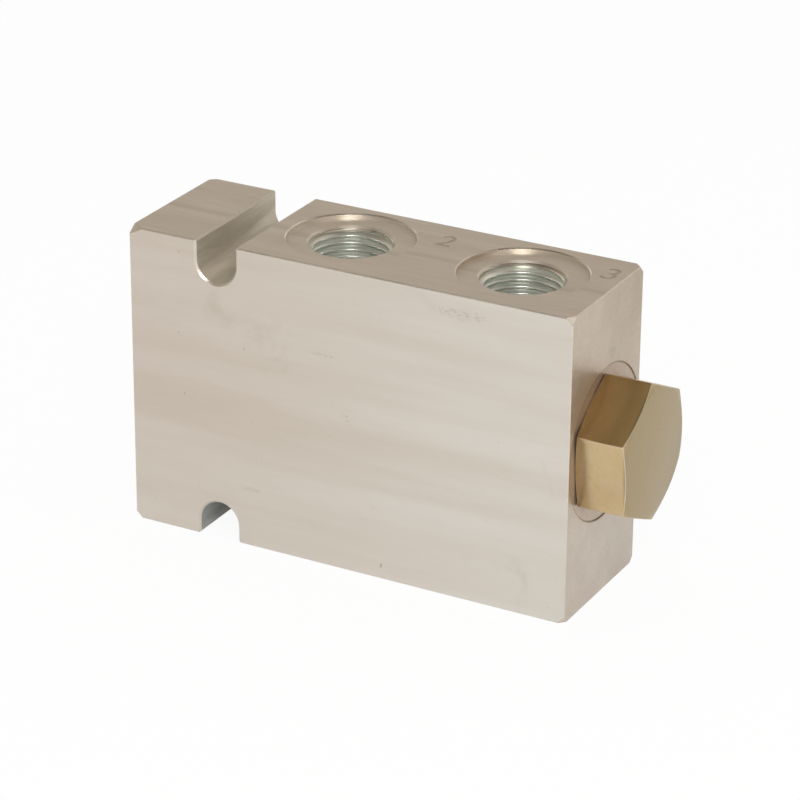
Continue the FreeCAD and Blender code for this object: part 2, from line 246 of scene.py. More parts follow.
def makeRingGroup():
    # the fine rings that a turning tool leaves round an axis along Z, below its centre
    tree, given, result = newEffect("turnedRings", [
        ("Centre", "NodeSocketVector", (0.0, 0.0, 0.0)),
        ("Radius", "NodeSocketFloat", 0.016),
        ("Pitch", "NodeSocketFloat", 0.0004),
    ], "Height")
    x, y, z = axesOf(tree, vectors(tree, "SUBTRACT", given["Vector"], given["Centre"]))
    radius = lengthOf(tree, addNode(tree, "ShaderNodeCombineXYZ", {0: x, 1: y}).outputs[0])
    turns = maths(tree, "DIVIDE", radius, given["Pitch"])
    wave = maths(tree, "SINE", product(tree, turns, 2 * math.pi))
    wobble = addNoise(tree, given["Vector"], **ringEffect)
    inRadius = maths(tree, "LESS_THAN", radius, given["Radius"])
    below = maths(tree, "LESS_THAN", z, 0.0)
    tree.links.new(product(tree, wave, wobble, inRadius, below), result["Height"])
    return tree


blotchEffect = {"detail": 6.0, "roughness": 0.6, "distortion": 0.4}


def makeBlotchGroup():
    # soft uneven patches, such as stains, handling marks and plating colours
    tree, given, result = newEffect("softBlotches", [
        ("Scale", "NodeSocketFloat", 60.0),
        ("Low", "NodeSocketFloat", 0.45),
        ("High", "NodeSocketFloat", 0.65),
    ], "Mask")
    noise = addNoise(tree, given["Vector"], given["Scale"], **blotchEffect)
    tree.links.new(rescale(tree, noise, given["Low"], given["High"]), result["Mask"])
    return tree


scuffEffect = {
    "noise": {"scale": 7.0, "detail": 8.0, "roughness": 0.75, "distortion": 0.8},
    "range": (0.5, 0.62),
    "fade": (0.3, 1.0),  # in reaches from the place
}


def makeScuffGroup():
    # a few short scratches round one place
    tree, given, result = newEffect("scuffMarks", [
        ("Place", "NodeSocketVector", (0.0, 0.0, 0.0)),
        ("Reach", "NodeSocketVector", (0.008, 0.001, 0.002)),
    ], "Mask")
    moved = vectors(tree, "SUBTRACT", given["Vector"], given["Place"])
    share = vectors(tree, "DIVIDE", moved, given["Reach"])
    broken = rescale(tree, addNoise(tree, share, **scuffEffect["noise"]), *scuffEffect["range"])
    near = rescale(tree, lengthOf(tree, share), *scuffEffect["fade"], 1.0, 0.0)
    tree.links.new(product(tree, broken, near), result["Mask"])
    return tree


grainGroup = makeGrainGroup()
scuffGroup = makeScuffGroup()
edgeGroup = makeEdgeGroup()
ringGroup = makeRingGroup()
blotchGroup = makeBlotchGroup()
print("shared effects made")


# the finishes

def startMaterial(name, metallic, roughness):
    material = bpy.data.materials.new(name)
    material.use_nodes = True
    tree = material.node_tree
    shader = tree.nodes["Principled BSDF"]
    shader.inputs["Metallic"].default_value = metallic
    shader.inputs["Roughness"].default_value = roughness
    coords = addNode(tree, "ShaderNodeTexCoord").outputs["Object"]
    return material, tree, shader, coords


def facingOf(tree):
    return axesOf(tree, addNode(tree, "ShaderNodeTexCoord").outputs["Normal"])


def bumpInto(tree, shader, height, distance, strength=1.0):
    bump = addNode(tree, "ShaderNodeBump", {"Height": height, "Distance": distance, "Strength": strength})
    tree.links.new(bump.outputs[0], shader.inputs["Normal"])


blockFinish = {
    "cream": (0.680, 0.627, 0.562),
    "warm": (0.634, 0.572, 0.498),
    "edge": (0.70, 0.655, 0.59),
    "stain": (0.44, 0.395, 0.325),
    "speck": (0.16, 0.13, 0.10),
    # the ends' tint: partly their sawn finish, partly painted shade that darkens them
    "sawnAndShaded": (0.865, 0.815, 0.765),
    "metallic": 0.82,
    "roughness": (0.34, 0.46),
    "grain": {"Stretch": (1.0, 14.0, 14.0), "Scale": 70.0},
    "bands": {"Stretch": (1.0, 9.0, 9.0), "Scale": 18.0},
    "bandShare": 0.35,
    "stains": {"Scale": 45.0, "Low": 0.6, "High": 0.8},
    "stainShare": 0.45,
    "facing": 0.9,  # a normal this far along an axis belongs to that axis's face
    "endFacing": (0.75, 0.95),
    # slow shifts of painted light and shade that multiply the colour: along and low on the front face, and on
    # the ends
    "frontPaintedLightShift": ((0.94, 0.92, 0.90), (1.03, 1.055, 1.08)),
    "frontLowPaintedLight": (1.045, 1.065, 1.09),
    "frontLowPaintedLightReach": (6 * mm, 38 * mm),
    "endLowPaintedLight": (1.03, 1.08, 1.14),
    "endHighPaintedShade": (0.86, 0.84, 0.79),
    "endLowPaintedLightReach": (8 * mm, 42 * mm),
    "endHighPaintedShadeReach": (45 * mm, 76 * mm),
    "endBackPaintedShadeReach": (-14 * mm, 15 * mm),
    # the shallow turned recess round the hexagon: its radius, tint, and the painted shade along its step
    "recessRadius": 19.5 * mm,
    "recessTint": (0.92, 0.875, 0.85),
    "recessStepShade": (0.55, 0.50, 0.43),
    "recessStepShadeReach": (0.08 * mm, 0.34 * mm),
    # the shade along one cutter pass on the top: where it starts, is full and ends, and its gain and least
    "passLine": (-3.3 * mm, -2.7 * mm, 0.6 * mm),
    "passUneven": (0.4, 0.35),
    "specks": {"Scale": 420.0, "Low": 0.71, "High": 0.75},
    "speckShare": 0.55,
    # place and reach of each group of scratches on the front face
    "scuffs": (
        ((16.8 * mm, 0.0, 74.0 * mm), (9.5 * mm, 1.0, 1.7 * mm)),
        ((-40.3 * mm, 0.0, 15.5 * mm), (3.6 * mm, 1.0, 0.9 * mm)),
        ((-20.0 * mm, 0.0, 56.0 * mm), (5.0 * mm, 1.0, 0.6 * mm)),
    ),
    "scuffShare": 0.6,
    # the rubbed edges of the block
    "edgeWidth": 0.22 * mm,
    "edgeRagged": 0.35,
    "edgeShare": 0.6,
    "edgePolish": 0.06,
    "edgeBare": 0.2,
    # heights of the cutter's marks and of the spotfaces' rings, which start this far below the top
    "grainHeight": 0.5,
    "ringHeight": 0.8,
    "ringTop": 0.5 * mm,
    "ringPitch": 0.42 * mm,
    "bump": 0.009 * mm,
}


def findTintsAndPaintedLight(tree, coords, facing):
    # the tints and the painted light and shade that multiply the block's colour: how much of each, and its
    # colour
    along, across, level = axesOf(tree, coords)
    onEnds = rescale(tree, maths(tree, "ABSOLUTE", facing[0]), *blockFinish["endFacing"])
    onRight = maths(tree, "GREATER_THAN", facing[0], blockFinish["facing"])
    onFront = maths(tree, "LESS_THAN", facing[1], -blockFinish["facing"])
    # painted shade and light: the front face darker to the left, lighter and cooler to the right
    frontPlace = rescale(tree, along, block["low"].x, block["high"].x)
    frontPaintedShade = mixColours(tree, frontPlace, *blockFinish["frontPaintedLightShift"])
    # painted light: the front face lighter and cooler towards the bottom
    frontLowPaintedLight = rescale(tree, level, *blockFinish["frontLowPaintedLightReach"], 1.0, 0.0)
    # painted light and shade on the ends: lighter and cooler low down, darker and warmer high up towards the
    # back
    endLowPaintedLight = rescale(tree, level, *blockFinish["endLowPaintedLightReach"], 1.0, 0.0)
    back = rescale(tree, across, *blockFinish["endBackPaintedShadeReach"])
    paintedShadeHighAtBack = product(tree, rescale(tree, level, *blockFinish["endHighPaintedShadeReach"]), back)
    hexagonLow, hexagonHigh = [Vector(corner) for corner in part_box("cartridge_head")]
    fromMiddle = vectors(tree, "SUBTRACT", coords, (hexagonLow + hexagonHigh) / 2)
    radius = lengthOf(tree, vectors(tree, "MULTIPLY", fromMiddle, (0.0, 1.0, 1.0)))
    inRecess = maths(tree, "LESS_THAN", radius, blockFinish["recessRadius"])
    # painted shade: a darker line along the recess's step
    fromStep = maths(tree, "ABSOLUTE", maths(tree, "SUBTRACT", radius, blockFinish["recessRadius"]))
    paintedStepShade = rescale(tree, fromStep, *blockFinish["recessStepShadeReach"], 1.0, 0.0)
    return (
        (onEnds, blockFinish["sawnAndShaded"]),
        (onFront, frontPaintedShade),
        (product(tree, onFront, frontLowPaintedLight), blockFinish["frontLowPaintedLight"]),
        (product(tree, onEnds, endLowPaintedLight), blockFinish["endLowPaintedLight"]),
        (product(tree, onEnds, paintedShadeHighAtBack), blockFinish["endHighPaintedShade"]),
        (product(tree, onRight, inRecess), blockFinish["recessTint"]),
        (product(tree, onRight, paintedStepShade), blockFinish["recessStepShade"]),
    )


def findPassShade(tree, coords, facing, drift):
    # the darker line that one pass of the cutter left along the top
    across = axesOf(tree, coords)[1]
    start, full, end = blockFinish["passLine"]
    line = product(tree, rescale(tree, across, start, full), rescale(tree, across, full, end, 1.0, 0.0))
    onTop = maths(tree, "GREATER_THAN", facing[2], blockFinish["facing"])
    uneven = maths(tree, "MULTIPLY_ADD", drift, *blockFinish["passUneven"])
    return product(tree, line, onTop, uneven)


def findMarks(tree, coords, facing):
    # small dark specks everywhere, and the scratches on the front face
    specks = useGroup(tree, blotchGroup, {"Vector": coords, **blockFinish["specks"]})
    onFront = maths(tree, "LESS_THAN", facing[1], -blockFinish["facing"])
    marks = product(tree, specks["Mask"], blockFinish["speckShare"])
    for place, reach in blockFinish["scuffs"]:
        scuff = useGroup(tree, scuffGroup, {"Vector": coords, "Place": place, "Reach": reach})
        scratched = product(tree, scuff["Mask"], onFront, blockFinish["scuffShare"])
        marks = maths(tree, "MAXIMUM", marks, scratched)
    return marks


def findBlockHeight(tree, coords, shade):
    height = product(tree, shade, blockFinish["grainHeight"])
    for name in outletNames:
        centre = Vector(mounts[name]["pos_m"])
        centre.z = block["high"].z - blockFinish["ringTop"]
        rings = useGroup(tree, ringGroup, {
            "Vector": coords, "Centre": centre, "Radius": block["spotfaceRadius"],
            "Pitch": blockFinish["ringPitch"],
        })
        height = maths(tree, "ADD", height, product(tree, rings["Height"], blockFinish["ringHeight"]))
    return height


def makeBlockMaterial():
    metallic, (smooth, rough) = blockFinish["metallic"], blockFinish["roughness"]
    material, tree, shader, coords = startMaterial("milledAluminium", metallic, 0.4)
    grain = useGroup(tree, grainGroup, {"Vector": coords, **blockFinish["grain"]})
    bands = useGroup(tree, grainGroup, {"Vector": coords, **blockFinish["bands"]})
    stains = useGroup(tree, blotchGroup, {"Vector": coords, **blockFinish["stains"]})
    wear = useGroup(tree, edgeGroup, {
        "Vector": coords, "Middle": block["middle"], "Half Size": block["half"],
        "Width": blockFinish["edgeWidth"], "Ragged": blockFinish["edgeRagged"],
    })["Mask"]
    facing = facingOf(tree)
    banded = product(tree, bands["Shade"], blockFinish["bandShare"])
    stained = product(tree, stains["Mask"], blockFinish["stainShare"])
    colour = mixColours(tree, grain["Drift"], blockFinish["cream"], blockFinish["warm"])
    colour = mixColours(tree, banded, colour, blockFinish["warm"])
    colour = mixColours(tree, stained, colour, blockFinish["stain"])
    for share, tint in findTintsAndPaintedLight(tree, coords, facing):
        colour = mixColours(tree, share, colour, tint, "MULTIPLY")
    passShade = findPassShade(tree, coords, facing, bands["Drift"])
    colour = mixColours(tree, passShade, colour, blockFinish["stain"])
    colour = mixColours(tree, findMarks(tree, coords, facing), colour, blockFinish["speck"])
    colour = mixColours(tree, product(tree, wear, blockFinish["edgeShare"]), colour, blockFinish["edge"])
    tree.links.new(colour, shader.inputs["Base Color"])
    roughness = rescale(tree, grain["Shade"], 0.0, 1.0, smooth, rough)
    roughness = maths(tree, "SUBTRACT", roughness, product(tree, wear, blockFinish["edgePolish"]))
    tree.links.new(roughness, shader.inputs["Roughness"])
    metal = maths(tree, "SUBTRACT", metallic, product(tree, wear, blockFinish["edgeBare"]))
    tree.links.new(metal, shader.inputs["Metallic"])
    bumpInto(tree, shader, findBlockHeight(tree, coords, grain["Shade"]), blockFinish["bump"])
    return material


threadFinish = {
    "silver": (0.88, 0.905, 0.85),
    "shade": (0.69, 0.715, 0.66),
    # painted light: the roots lighter, to offset their shade
    "root": (0.80, 0.82, 0.76),
    # painted highlight: a near-white line along each crest
    "crest": (0.97, 0.98, 0.95),
    # the mouth's warm tint: partly its own metal, partly painted shade
    "warm": (0.40, 0.35, 0.28),
    "metallic": 0.84,
    "roughness": (0.28, 0.42),
    "grain": {"Stretch": (1.0, 1.0, 8.0), "Scale": 220.0},
    "shadeShare": 0.6,
    "mouthWarmthAndShadeReach": (1.6 * mm, 3.6 * mm),  # the warm tint fades between these depths below the face
    # where the root's painted light ends and the crest's painted highlight begins, as shares of the ridge's
    # height
    "rootLightRise": (0.05, 0.35),
    "rootShare": 0.45,
    "crestRise": (0.94, 1.0),
    "crestHighlightDulled": 0.6,
    "crestPolish": 0.08,
    "bump": 0.01 * mm,
}


def makeThreadMaterial():
    smooth, rough = threadFinish["roughness"]
    material, tree, shader, coords = startMaterial("cutThread", threadFinish["metallic"], 0.3)
    grain = useGroup(tree, grainGroup, {"Vector": coords, **threadFinish["grain"]})
    shaded = product(tree, grain["Shade"], threadFinish["shadeShare"])
    colour = mixColours(tree, shaded, threadFinish["silver"], threadFinish["shade"])
    fromMiddle = maths(tree, "ABSOLUTE", maths(tree, "SUBTRACT", axesOf(tree, coords)[2], block["middle"].z))
    depth = maths(tree, "SUBTRACT", block["half"].z, fromMiddle)
    # warm tint near the mouth, partly painted shade
    mouthWarmthAndShade = rescale(tree, depth, *threadFinish["mouthWarmthAndShadeReach"], 1.0, 0.0)
    colour = mixColours(tree, mouthWarmthAndShade, colour, threadFinish["warm"])
    rise = addNode(tree, "ShaderNodeAttribute", attribute_name="crestRise").outputs["Fac"]
    # painted light in the roots
    paintedRootLight = rescale(tree, rise, *threadFinish["rootLightRise"], threadFinish["rootShare"], 0.0)
    # painted highlight on the crests, with their polish, weaker near the mouth
    dulled = product(tree, mouthWarmthAndShade, threadFinish["crestHighlightDulled"])
    paintedCrestHighlightAndPolish = maths(tree, "SUBTRACT", rescale(tree, rise, *threadFinish["crestRise"]), dulled, clamp=True)
    colour = mixColours(tree, paintedRootLight, colour, threadFinish["root"])
    colour = mixColours(tree, paintedCrestHighlightAndPolish, colour, threadFinish["crest"])
    tree.links.new(colour, shader.inputs["Base Color"])
    roughness = rescale(tree, grain["Drift"], 0.0, 1.0, smooth, rough)
    roughness = maths(tree, "SUBTRACT", roughness, product(tree, paintedCrestHighlightAndPolish, threadFinish["crestPolish"]))
    tree.links.new(roughness, shader.inputs["Roughness"])
    bumpInto(tree, shader, grain["Shade"], threadFinish["bump"])
    return material


zincFinish = {
    "gold": (0.560, 0.407, 0.212),
    "beige": (0.612, 0.480, 0.288),
    "olive": (0.280, 0.175, 0.070),
    "khaki": (0.368, 0.293, 0.173),
    "lilac": (0.480, 0.400, 0.470),
    "bare": (0.80, 0.74, 0.62),
    # painted reflection: the flats that face up get a deeper, darker tint
    "paintedReflectionTint": (1.0, 0.90, 0.72),  # the deeper tint of the flats that face up
    "paintedReflectionTintFacing": (0.5, 0.8),
    "khakiReach": (1.1 * mm, 0.3 * mm),  # how far in from the outer face the duller tint starts and is full
    "khakiShare": 0.85,
    "blotches": {
        "broad": {"Scale": 40.0, "Low": 0.3, "High": 0.7},
        "fine": {"Scale": 900.0, "Low": 0.5, "High": 0.8},
        "patches": {"Scale": 90.0, "Low": 0.58, "High": 0.72},
        "dust": {"Scale": 1500.0, "Low": 0.66, "High": 0.72},
    },
    "layers": (("fine", 0.22, "olive"), ("patches", 0.2, "lilac"), ("dust", 0.5, "bare")),
    "wornShare": (0.7, 0.2),
    "metallic": 0.95,
    "roughness": (0.32, 0.46),
    "bump": (0.01 * mm, 0.5),
}


def makeZincMaterial(name, worn):
    material, tree, shader, coords = startMaterial(name, zincFinish["metallic"], 0.3)
    masks = {
        blotch: useGroup(tree, blotchGroup, {"Vector": coords, **values})["Mask"]
        for blotch, values in zincFinish["blotches"].items()
    }
    colour = mixColours(tree, masks["broad"], zincFinish["gold"], zincFinish["beige"])
    for blotch, share, tint in zincFinish["layers"]:
        colour = mixColours(tree, product(tree, masks[blotch], share), colour, zincFinish[tint])
    start, full = [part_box("cartridge_head")[1][0] - reach for reach in zincFinish["khakiReach"]]
    outer = rescale(tree, axesOf(tree, coords)[0], start, full, 0.0, zincFinish["khakiShare"])
    colour = mixColours(tree, outer, colour, zincFinish["khaki"])
    # painted reflection on the flats that face up
    paintedUpwardReflection = rescale(tree, facingOf(tree)[2], *zincFinish["paintedReflectionTintFacing"])
    colour = mixColours(tree, paintedUpwardReflection, colour, zincFinish["paintedReflectionTint"], "MULTIPLY")
    if worn:
        rubbed = rescale(tree, masks["broad"], 0.0, 1.0, *zincFinish["wornShare"])
        colour = mixColours(tree, rubbed, colour, zincFinish["bare"])
    tree.links.new(colour, shader.inputs["Base Color"])
    roughness = rescale(tree, masks["fine"], 0.0, 1.0, *zincFinish["roughness"])
    tree.links.new(roughness, shader.inputs["Roughness"])
    bumpInto(tree, shader, masks["fine"], *zincFinish["bump"])
    return material


plainFinish = {"scale": 260.0, "roughness": (0.8, 1.3), "bump": 0.006 * mm}


def makePlainMetal(name, bright, dark, roughness, metallic=1.0, stretch=(10.0, 1.0, 1.0)):
    # ground, honed or drawn metal, with fine marks that run across the stretched directions
    material, tree, shader, coords = startMaterial(name, metallic, roughness)
    grain = useGroup(tree, grainGroup, {"Vector": coords, "Stretch": stretch, "Scale": plainFinish["scale"]})
    tree.links.new(mixColours(tree, grain["Shade"], bright, dark), shader.inputs["Base Color"])
    low, high = [roughness * share for share in plainFinish["roughness"]]
    tree.links.new(rescale(tree, grain["Drift"], 0.0, 1.0, low, high), shader.inputs["Roughness"])
    bumpInto(tree, shader, grain["Shade"], plainFinish["bump"])
    return material


softFinish = {"dust": {"Scale": 260.0, "Low": 0.45, "High": 0.75}, "dustRoughness": 0.15, "bump": 0.01 * mm}


def makeSoftMaterial(name, fresh, dusty, roughness):
    material, tree, shader, coords = startMaterial(name, 0.0, roughness)
    dust = useGroup(tree, blotchGroup, {"Vector": coords, **softFinish["dust"]})["Mask"]
    tree.links.new(mixColours(tree, dust, fresh, dusty), shader.inputs["Base Color"])
    dusted = rescale(tree, dust, 0.0, 1.0, roughness, roughness + softFinish["dustRoughness"])
    tree.links.new(dusted, shader.inputs["Roughness"])
    bumpInto(tree, shader, dust, softFinish["bump"])
    return material


# the finishes of the solids, by the record's material slots
finishes = {
    "block": makeBlockMaterial(),
    "zinc_plate": makeZincMaterial("yellowZinc", False),
    "sleeve_steel": makePlainMetal("groundSteel", (0.50, 0.50, 0.51), (0.38, 0.38, 0.39), 0.3),
    "hardened_steel": makePlainMetal("honedSteel", (0.58, 0.58, 0.60), (0.47, 0.47, 0.49), 0.18),
    "spring_steel": makePlainMetal("springWire", (0.36, 0.36, 0.38), (0.22, 0.22, 0.24), 0.35),
    "jet_brass": makePlainMetal("turnedBrass", (0.74, 0.56, 0.25), (0.58, 0.42, 0.17), 0.28),
    "nitrile": makeSoftMaterial("blackNitrile", (0.022, 0.022, 0.023), (0.05, 0.05, 0.052), 0.5),
    "backup_plastic": makeSoftMaterial("whiteBackup", (0.82, 0.81, 0.76), (0.70, 0.68, 0.62), 0.4),
}
rimMarks = (0.6, 0.6, 16.0)
wallMetal = {"roughness": 0.5, "metallic": 0.55, "stretch": (14.0, 1.0, 14.0)}
# the finishes that only some faces of the block show, in the order of its material slots
blockExtras = {
    "thread": makeThreadMaterial(),
    "stamp": makePlainMetal("stampFloor", (0.56, 0.515, 0.445), (0.46, 0.42, 0.36), 0.5, 0.85),
    "rim": makePlainMetal("boredRim", (0.74, 0.695, 0.63), (0.68, 0.635, 0.57), 0.22, 0.9, rimMarks),
    # painted shade: the slots' walls darker than the block, the lower slot's darker and greyer still
    "slot": makePlainMetal("slotWallPaintedShade", (0.535, 0.482, 0.388), (0.47, 0.42, 0.335), **wallMetal),
    "lowSlot": makePlainMetal("lowSlotWallPaintedShade", (0.445, 0.455, 0.43), (0.385, 0.395, 0.372), **wallMetal),
}
blockSlots = {name: slot for slot, name in enumerate(blockExtras, 1)}
wornZinc = makeZincMaterial("wornZinc", True)
for subpart in frame["record"]["subparts"]:
    node = frame["nodes"][subpart["node"]]
    node.data.materials.clear()
    node.data.materials.append(finishes[subpart["material_slot"]])
print("finishes made and put on the solids")


# pieces made from a solid's own mesh

weldDistance = 0.0005 * mm


def mergedCopy(nodeName, pieceName):
    piece = bpy.data.objects.new(pieceName, frame["nodes"][nodeName].data.copy())
    bpy.context.scene.collection.objects.link(piece)
    mesh = bmesh.new()
    mesh.from_mesh(piece.data)
    bmesh.ops.remove_doubles(mesh, verts=mesh.verts, dist=weldDistance)
    mesh.to_mesh(piece.data)
    mesh.free()
    for name in ("custom_normal", "sharp_face", "sharp_edge"):
        if name in piece.data.attributes:
            piece.data.attributes.remove(piece.data.attributes[name])
    return piece


def smoothByAngle(piece, degrees):
    for face in piece.data.polygons:
        face.use_smooth = True
    piece.data.set_sharp_from_angle(angle=math.radians(degrees))


def applyModifiers(piece):
    bpy.context.view_layer.update()
    evaluated = piece.evaluated_get(bpy.context.evaluated_depsgraph_get())
    piece.data = bpy.data.meshes.new_from_object(evaluated)
    piece.modifiers.clear()


def carve(piece, cutterMesh):
    cutter = bpy.data.objects.new("cutter", cutterMesh)
    bpy.context.scene.collection.objects.link(cutter)
    cut = piece.modifiers.new("cut", "BOOLEAN")
    cut.operation = "DIFFERENCE"
    cut.solver = "EXACT"
    cut.object = cutter
    applyModifiers(piece)
    bpy.data.objects.remove(cutter)


def breakRims(piece):
    # the sharp outer edges of the spotfaces are broken a little
    inner = block["spotfaceRadius"] - block["rimMargin"]
    outer = block["spotfaceRadius"] + block["rimBreak"] + block["rimMargin"]
    for name in portNames:
        mouth, out = portFace(name)
        mesh = bmesh.new()
        bmesh.ops.create_cone(
            mesh, cap_ends=True, segments=block["rimSegments"], radius1=inner, radius2=outer,
            depth=outer - inner,
        )
        cutter = bpy.data.meshes.new("cutter")
        mesh.to_mesh(cutter)
        mesh.free()
        turn = Matrix.Rotation(0.0 if out.z > 0 else math.pi, 4, "X")
        cutter.transform(Matrix.Translation(mouth - out * (block["rimBreak"] / 2)) @ turn)
        carve(piece, cutter)


stamps = {
    # each numeral, its port, and its place from the port's axis, along the block and towards the back
    "marks": (
        ("2", "left_outlet_port", 21.4 * mm, 8.6 * mm),
        ("3", "right_outlet_port", 18.6 * mm, 9.0 * mm),
    ),
    "size": 9.8 * mm,
    "depth": 0.08 * mm,
    "curveSteps": 4,
    "reach": (0.34, 0.45),  # of a numeral's faces from its middle, in sizes
    "sunk": (0.2, 1.2),  # how deep those faces lie, in depths
}


def stampNumerals(piece):
    # plain port numbers, pressed a little way into the top face
    size, depth = stamps["size"], stamps["depth"]
    (reachX, reachY), (shallow, deep) = stamps["reach"], stamps["sunk"]
    for numeral, portName, right, back in stamps["marks"]:
        text = bpy.data.curves.new("stamp", "FONT")
        text.body = numeral
        text.size = size
        text.align_x, text.align_y = "CENTER", "CENTER"
        text.extrude = depth
        text.resolution_u = stamps["curveSteps"]
        port = Vector(mounts[portName]["pos_m"])
        place = Vector((port.x + right, port.y + back, block["high"].z))
        cutter = bpy.data.objects.new("stamp", text)
        bpy.context.scene.collection.objects.link(cutter)
        applied = bpy.data.meshes.new_from_object(cutter.evaluated_get(bpy.context.evaluated_depsgraph_get()))
        bpy.data.objects.remove(cutter)
        applied.transform(Matrix.Translation(place))
        carve(piece, applied)
        for face in piece.data.polygons:
            aside = face.center - place
            near = abs(aside.x) < size * reachX and abs(aside.y) < size * reachY
            clear = (face.center.xy - port.xy).length > block["rimRadii"][1]
            if near and clear and shallow < -aside.z / depth < deep:
                face.material_index = blockSlots["stamp"]


def markFaces(piece):
    # gives the cut faces of the ports, rims and slots their own finishes
    ports = [Vector(mounts[name]["pos_m"]) for name in portNames]
    slots = [Vector(mounts[name]["pos_m"]) for name in ("top_mounting_slot", "bottom_mounting_slot")]
    for face in piece.data.polygons:
        reach = min((face.center.xy - port.xy).length for port in ports)
        depth = block["half"].z - abs(face.center.z - block["middle"].z)
        leans = abs(face.normal.z) < block["rimLean"]
        if reach < block["portRadius"] and block["portStart"] < depth < block["portEnd"]:
            face.material_index = blockSlots["thread"]
        elif leans and block["rimRadii"][0] < reach < block["rimRadii"][1] and 0 < depth < block["portStart"]:
            face.material_index = blockSlots["rim"]
        # the slots' walls take the finishes with painted shade
        for slot in slots:
            aside = max(abs(face.center.x - slot.x), abs(face.center.z - slot.z))
            upright = abs(face.normal.y) < block["slotLean"]
            if aside < block["slotReach"] and upright and depth > block["skin"]:
                face.material_index = blockSlots["slot" if slot.z > block["middle"].z else "lowSlot"]


def makeBlock():
    piece = mergedCopy("valve_block", "block_body")
    for material in blockExtras.values():
        piece.data.materials.append(material)
    breakRims(piece)
    stampNumerals(piece)
    markFaces(piece)
    smoothByAngle(piece, block["smoothAngle"])
    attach(piece, "root")
    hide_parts("valve_block")


head = {"bevel": 0.14 * mm, "bevelAngle": 20, "bevelSteps": 2, "flatAngle": 0.5, "smoothAngle": 30}


def makeHead():
    # the hexagon's edges are broken a little, and the plating is rubbed there
    piece = mergedCopy("cartridge_head", "hexagon_head")
    piece.data.materials.append(wornZinc)
    mesh = bmesh.new()
    mesh.from_mesh(piece.data)
    flatAngle = math.radians(head["flatAngle"])
    bmesh.ops.dissolve_limit(mesh, angle_limit=flatAngle, verts=mesh.verts, edges=mesh.edges)
    mesh.to_mesh(piece.data)
    mesh.free()
    bevel = piece.modifiers.new("edges", "BEVEL")
    bevel.width = head["bevel"]
    bevel.segments = head["bevelSteps"]
    bevel.limit_method = "ANGLE"
    bevel.angle_limit = math.radians(head["bevelAngle"])
    bevel.material = 1
    bevel.use_clamp_overlap = True
    applyModifiers(piece)
    smoothByAngle(piece, head["smoothAngle"])
    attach(piece, "root")
    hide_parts("cartridge_head")


makeBlock()
makeHead()
print("block and head made")


# coils: the port threads and the two springs

def newShapeTree(name, inputs):
    shape = ("Geometry", "NodeSocketGeometry")
    tree, given, result = newTree("GeometryNodeTree", name, [(*shape, None)] + inputs, [shape])
    tree.is_modifier = True
    return tree, given, result


def finishShape(tree, shape, material, result):
    real = addNode(tree, "GeometryNodeRealizeInstances", {0: shape})
    finished = addNode(tree, "GeometryNodeSetMaterial", {"Geometry": real.outputs[0], "Material": material})
    tree.links.new(finished.outputs[0], result["Geometry"])
    return tree


def addHelix(tree, given):
    helix = addNode(tree, "GeometryNodeCurveSpiral", {
        "Resolution": given["Steps"], "Rotations": given["Turns"], "Start Radius": given["Radius"],
        "End Radius": given["Radius"], "Height": given["Length"], "Reverse": True,
    })
    return addNode(tree, "GeometryNodeSetCurveNormal", {"Curve": helix.outputs[0]}, mode="Z_UP").outputs[0]


helixInputs = [
    ("Radius", "NodeSocketFloat", 0.01),
    ("Length", "NodeSocketFloat", 0.014),
    ("Turns", "NodeSocketFloat", 8.0),
    ("Steps", "NodeSocketInt", 96),
    ("Material", "NodeSocketMaterial", None),
]

threads = {
    "pitch": 25.4 / 14 * mm,
    "depth": 1.162 * mm,
    "sunk": 0.05 * mm,
    "rootShare": 1.02,
    "crest": 0.24 * mm,
    "round": 0.12 * mm,
    "roundSteps": 2,
    "steps": 96,
    "mouthRadius": 10.95 * mm,
    "mouthSlope": 0.95,
    "mouthDepth": 0.45 * mm,
    "profileTurn": 90,
    "starts": {"left_outlet_port": -105, "right_outlet_port": 0, "inlet_port": 0},  # each helix's turn
    "smoothAngle": 40,
}


